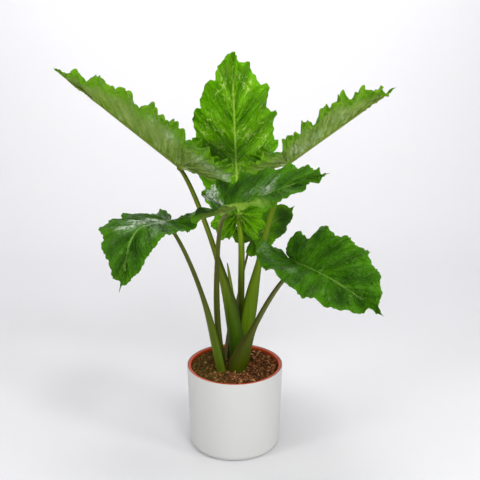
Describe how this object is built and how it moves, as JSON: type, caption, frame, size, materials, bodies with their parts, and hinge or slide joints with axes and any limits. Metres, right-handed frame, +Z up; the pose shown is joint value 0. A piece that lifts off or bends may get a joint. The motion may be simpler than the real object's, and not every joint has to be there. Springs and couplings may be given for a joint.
{
  "type": "potted portodora alocasia",
  "caption": "Large leafed aroid with scalloped upright and spreading blades on sheathed stems, growing in soil in a grow pot that stands in a plain white outer pot.",
  "frame": {"origin": "centre of the outer pot's flat foot", "axes": "+Z up along the pot's axis, -Y towards the side shown in the picture, +X to its right"},
  "size_m": [0.815, 0.6066, 1.0166],
  "materials": {
    "white_ceramic": "matt",
    "terracotta_plastic": "matt",
    "soil": "rough",
    "stem": "satin",
    "leaf": "glossy"
  },
  "bodies": {
    "root": {"cachepot": "white_ceramic", "nursery_pot": "terracotta_plastic", "soil": "soil", "stem_a": "stem", "stem_b": "stem", "stem_c": "stem", "stem_d": "stem", "stem_e": "stem", "stem_f": "stem", "stem_g": "stem", "young_sheath": "stem", "blade_a": "leaf", "blade_b": "leaf", "blade_c": "leaf", "blade_d": "leaf", "blade_e": "leaf", "blade_f": "leaf", "blade_g": "leaf"}
  },
  "joints": []
}
